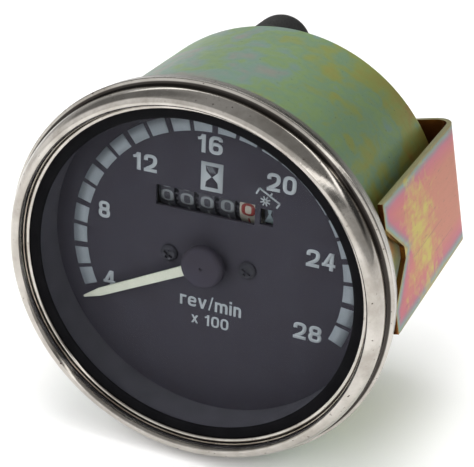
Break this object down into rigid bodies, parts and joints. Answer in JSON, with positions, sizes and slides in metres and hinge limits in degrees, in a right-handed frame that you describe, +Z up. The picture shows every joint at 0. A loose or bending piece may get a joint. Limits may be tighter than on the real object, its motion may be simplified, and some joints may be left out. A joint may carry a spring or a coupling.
{
  "type": "mechanical tachometer and hour meter",
  "caption": "Round panel instrument with a rolled bezel, pointer and dial, hour counter, cable drive, lamp boot and a U-shaped clamping bracket.",
  "frame": {"origin": "on the dial's axis, in the plane of the bezel's rear face, which seats on the panel: the centre of the panel's hole", "axes": "-Y out of the dial towards the viewer, +Y to the back, +X to the viewer's right, +Z up at the dial's twelve o'clock"},
  "size_m": [0.1132, 0.0892, 0.1078],
  "materials": {
    "passivated_steel": "yellow-passivated zinc plate with an olive and teal sheen",
    "strap_steel": "yellow-passivated zinc plate with a pink and gold sheen",
    "satin_nickel": "nickel plate, rubbed satin",
    "glass": "clear flat glass",
    "rubber": "black rubber",
    "black_paint": "satin black",
    "dial_paint": "matt charcoal",
    "pointer_paint": "cream",
    "steel": "bright zinc plate",
    "brass": "turned",
    "aluminium": "spun",
    "magnet": "sintered",
    "zinc_casting": "die-cast, dull",
    "nylon": "natural",
    "drum_black": "black",
    "drum_ivory": "ivory",
    "lamp_glass": "clear"
  },
  "bodies": {
    "housing": {"case_can": "passivated_steel", "bezel": "satin_nickel", "glass": "glass", "glass_seal": "rubber", "gasket": "rubber", "spacer_ring": "black_paint", "dial_plate": "dial_paint", "dial_screws": "black_paint", "hairspring": "brass", "spring_stud": "brass", "shaft_bush": "brass", "front_plate": "zinc_casting", "front_bearing": "brass", "stop_pins": "steel", "pillars": "steel", "pillar_screws": "steel", "rear_plate": "zinc_casting", "counter_frame": "steel", "counter_axle": "steel", "pinion_shaft": "steel", "drive_nipple": "steel", "nipple_nut": "steel", "bracket_studs": "steel", "frame_washers": "steel", "frame_nuts": "steel", "lamp_holder": "steel", "lamp_bulb": "lamp_glass", "lamp_boot": "rubber"},
    "clamp_group": {"bracket": "strap_steel", "stud_washers": "steel", "stud_nuts": "steel"},
    "pointer_group": {"pointer": "pointer_paint", "hub_cap": "black_paint", "spindle": "steel", "spring_collet": "brass", "drag_cup": "aluminium"},
    "drive_group": {"drive_shaft": "steel", "magnet": "magnet", "return_cup": "steel"},
    "cross_group": {"cross_shaft": "steel", "cross_wheel": "nylon"},
    "counter_shaft_group": {"counter_shaft": "steel", "counter_wheel": "nylon"},
    "indicator_group": {"run_indicator": "drum_black"},
    "drum_1_group": {"drum_1": "drum_black"},
    "drum_2_group": {"drum_2": "drum_black"},
    "drum_3_group": {"drum_3": "drum_black"},
    "drum_4_group": {"drum_4": "drum_black"},
    "drum_5_group": {"drum_5": "drum_ivory"},
    "pinion_1_group": {"pinion_1": "nylon"},
    "pinion_2_group": {"pinion_2": "nylon"},
    "pinion_3_group": {"pinion_3": "nylon"},
    "pinion_4_group": {"pinion_4": "nylon"},
    "pinion_5_group": {"pinion_5": "nylon"}
  },
  "joints": [
    {"name": "pointer_turn", "type": "hinge", "parent": "housing", "child": "pointer_group", "pos_m": [0, 0.02, 0], "axis": [0, 1, 0], "range_deg": [0, 234], "stiffness_Nm_per_rad": 0.0003, "springref_deg": -28.65, "deforming": ["hairspring"]},
    {"name": "drive_turn", "type": "hinge", "parent": "housing", "child": "drive_group", "pos_m": [0, 0.04, 0], "axis": [0, 1, 0], "continuous": true},
    {"name": "clamp_slide", "type": "slide", "parent": "housing", "child": "clamp_group", "axis": [0, 1, 0], "range_m": [0, 0.004]},
    {"name": "cross_turn", "type": "hinge", "parent": "housing", "child": "cross_group", "pos_m": [0, 0.047, 0.0114], "axis": [1, 0, 0], "continuous": true},
    {"name": "counter_shaft_turn", "type": "hinge", "parent": "housing", "child": "counter_shaft_group", "pos_m": [0.0192, 0.03, 0.0249], "axis": [0, 1, 0], "continuous": true},
    {"name": "indicator_turn", "type": "hinge", "parent": "housing", "child": "indicator_group", "pos_m": [0.0157, 0.0163, 0.0163], "axis": [-1, 0, 0], "continuous": true},
    {"name": "drum_1_turn", "type": "hinge", "parent": "housing", "child": "drum_1_group", "pos_m": [-0.014, 0.0163, 0.0163], "axis": [-1, 0, 0], "continuous": true},
    {"name": "drum_2_turn", "type": "hinge", "parent": "housing", "child": "drum_2_group", "pos_m": [-0.0082, 0.0163, 0.0163], "axis": [-1, 0, 0], "continuous": true},
    {"name": "drum_3_turn", "type": "hinge", "parent": "housing", "child": "drum_3_group", "pos_m": [-0.0024, 0.0163, 0.0163], "axis": [-1, 0, 0], "continuous": true},
    {"name": "drum_4_turn", "type": "hinge", "parent": "housing", "child": "drum_4_group", "pos_m": [0.0034, 0.0163, 0.0163], "axis": [-1, 0, 0], "continuous": true},
    {"name": "drum_5_turn", "type": "hinge", "parent": "housing", "child": "drum_5_group", "pos_m": [0.0092, 0.0163, 0.0163], "axis": [-1, 0, 0], "continuous": true},
    {"name": "pinion_1_turn", "type": "hinge", "parent": "housing", "child": "pinion_1_group", "pos_m": [-0.0111, 0.02252, 0.02252], "axis": [-1, 0, 0], "continuous": true},
    {"name": "pinion_2_turn", "type": "hinge", "parent": "housing", "child": "pinion_2_group", "pos_m": [-0.0053, 0.02252, 0.02252], "axis": [-1, 0, 0], "continuous": true},
    {"name": "pinion_3_turn", "type": "hinge", "parent": "housing", "child": "pinion_3_group", "pos_m": [0.0005, 0.02252, 0.02252], "axis": [-1, 0, 0], "continuous": true},
    {"name": "pinion_4_turn", "type": "hinge", "parent": "housing", "child": "pinion_4_group", "pos_m": [0.0063, 0.02252, 0.02252], "axis": [-1, 0, 0], "continuous": true},
    {"name": "pinion_5_turn", "type": "hinge", "parent": "housing", "child": "pinion_5_group", "pos_m": [0.0121, 0.02252, 0.02252], "axis": [-1, 0, 0], "continuous": true}
  ],
  "couplings": [
    {"joint": "cross_turn", "follows": "drive_turn", "ratio": 0.05},
    {"joint": "counter_shaft_turn", "follows": "drive_turn", "ratio": 0.002},
    {"joint": "drum_1_turn", "follows": "indicator_turn", "ratio": 0.00001},
    {"joint": "pinion_1_turn", "follows": "indicator_turn", "ratio": -0.000025},
    {"joint": "drum_2_turn", "follows": "indicator_turn", "ratio": 0.0001},
    {"joint": "pinion_2_turn", "follows": "indicator_turn", "ratio": -0.00025},
    {"joint": "drum_3_turn", "follows": "indicator_turn", "ratio": 0.001},
    {"joint": "pinion_3_turn", "follows": "indicator_turn", "ratio": -0.0025},
    {"joint": "drum_4_turn", "follows": "indicator_turn", "ratio": 0.01},
    {"joint": "pinion_4_turn", "follows": "indicator_turn", "ratio": -0.025},
    {"joint": "drum_5_turn", "follows": "indicator_turn", "ratio": 0.1},
    {"joint": "pinion_5_turn", "follows": "indicator_turn", "ratio": -0.25}
  ]
}
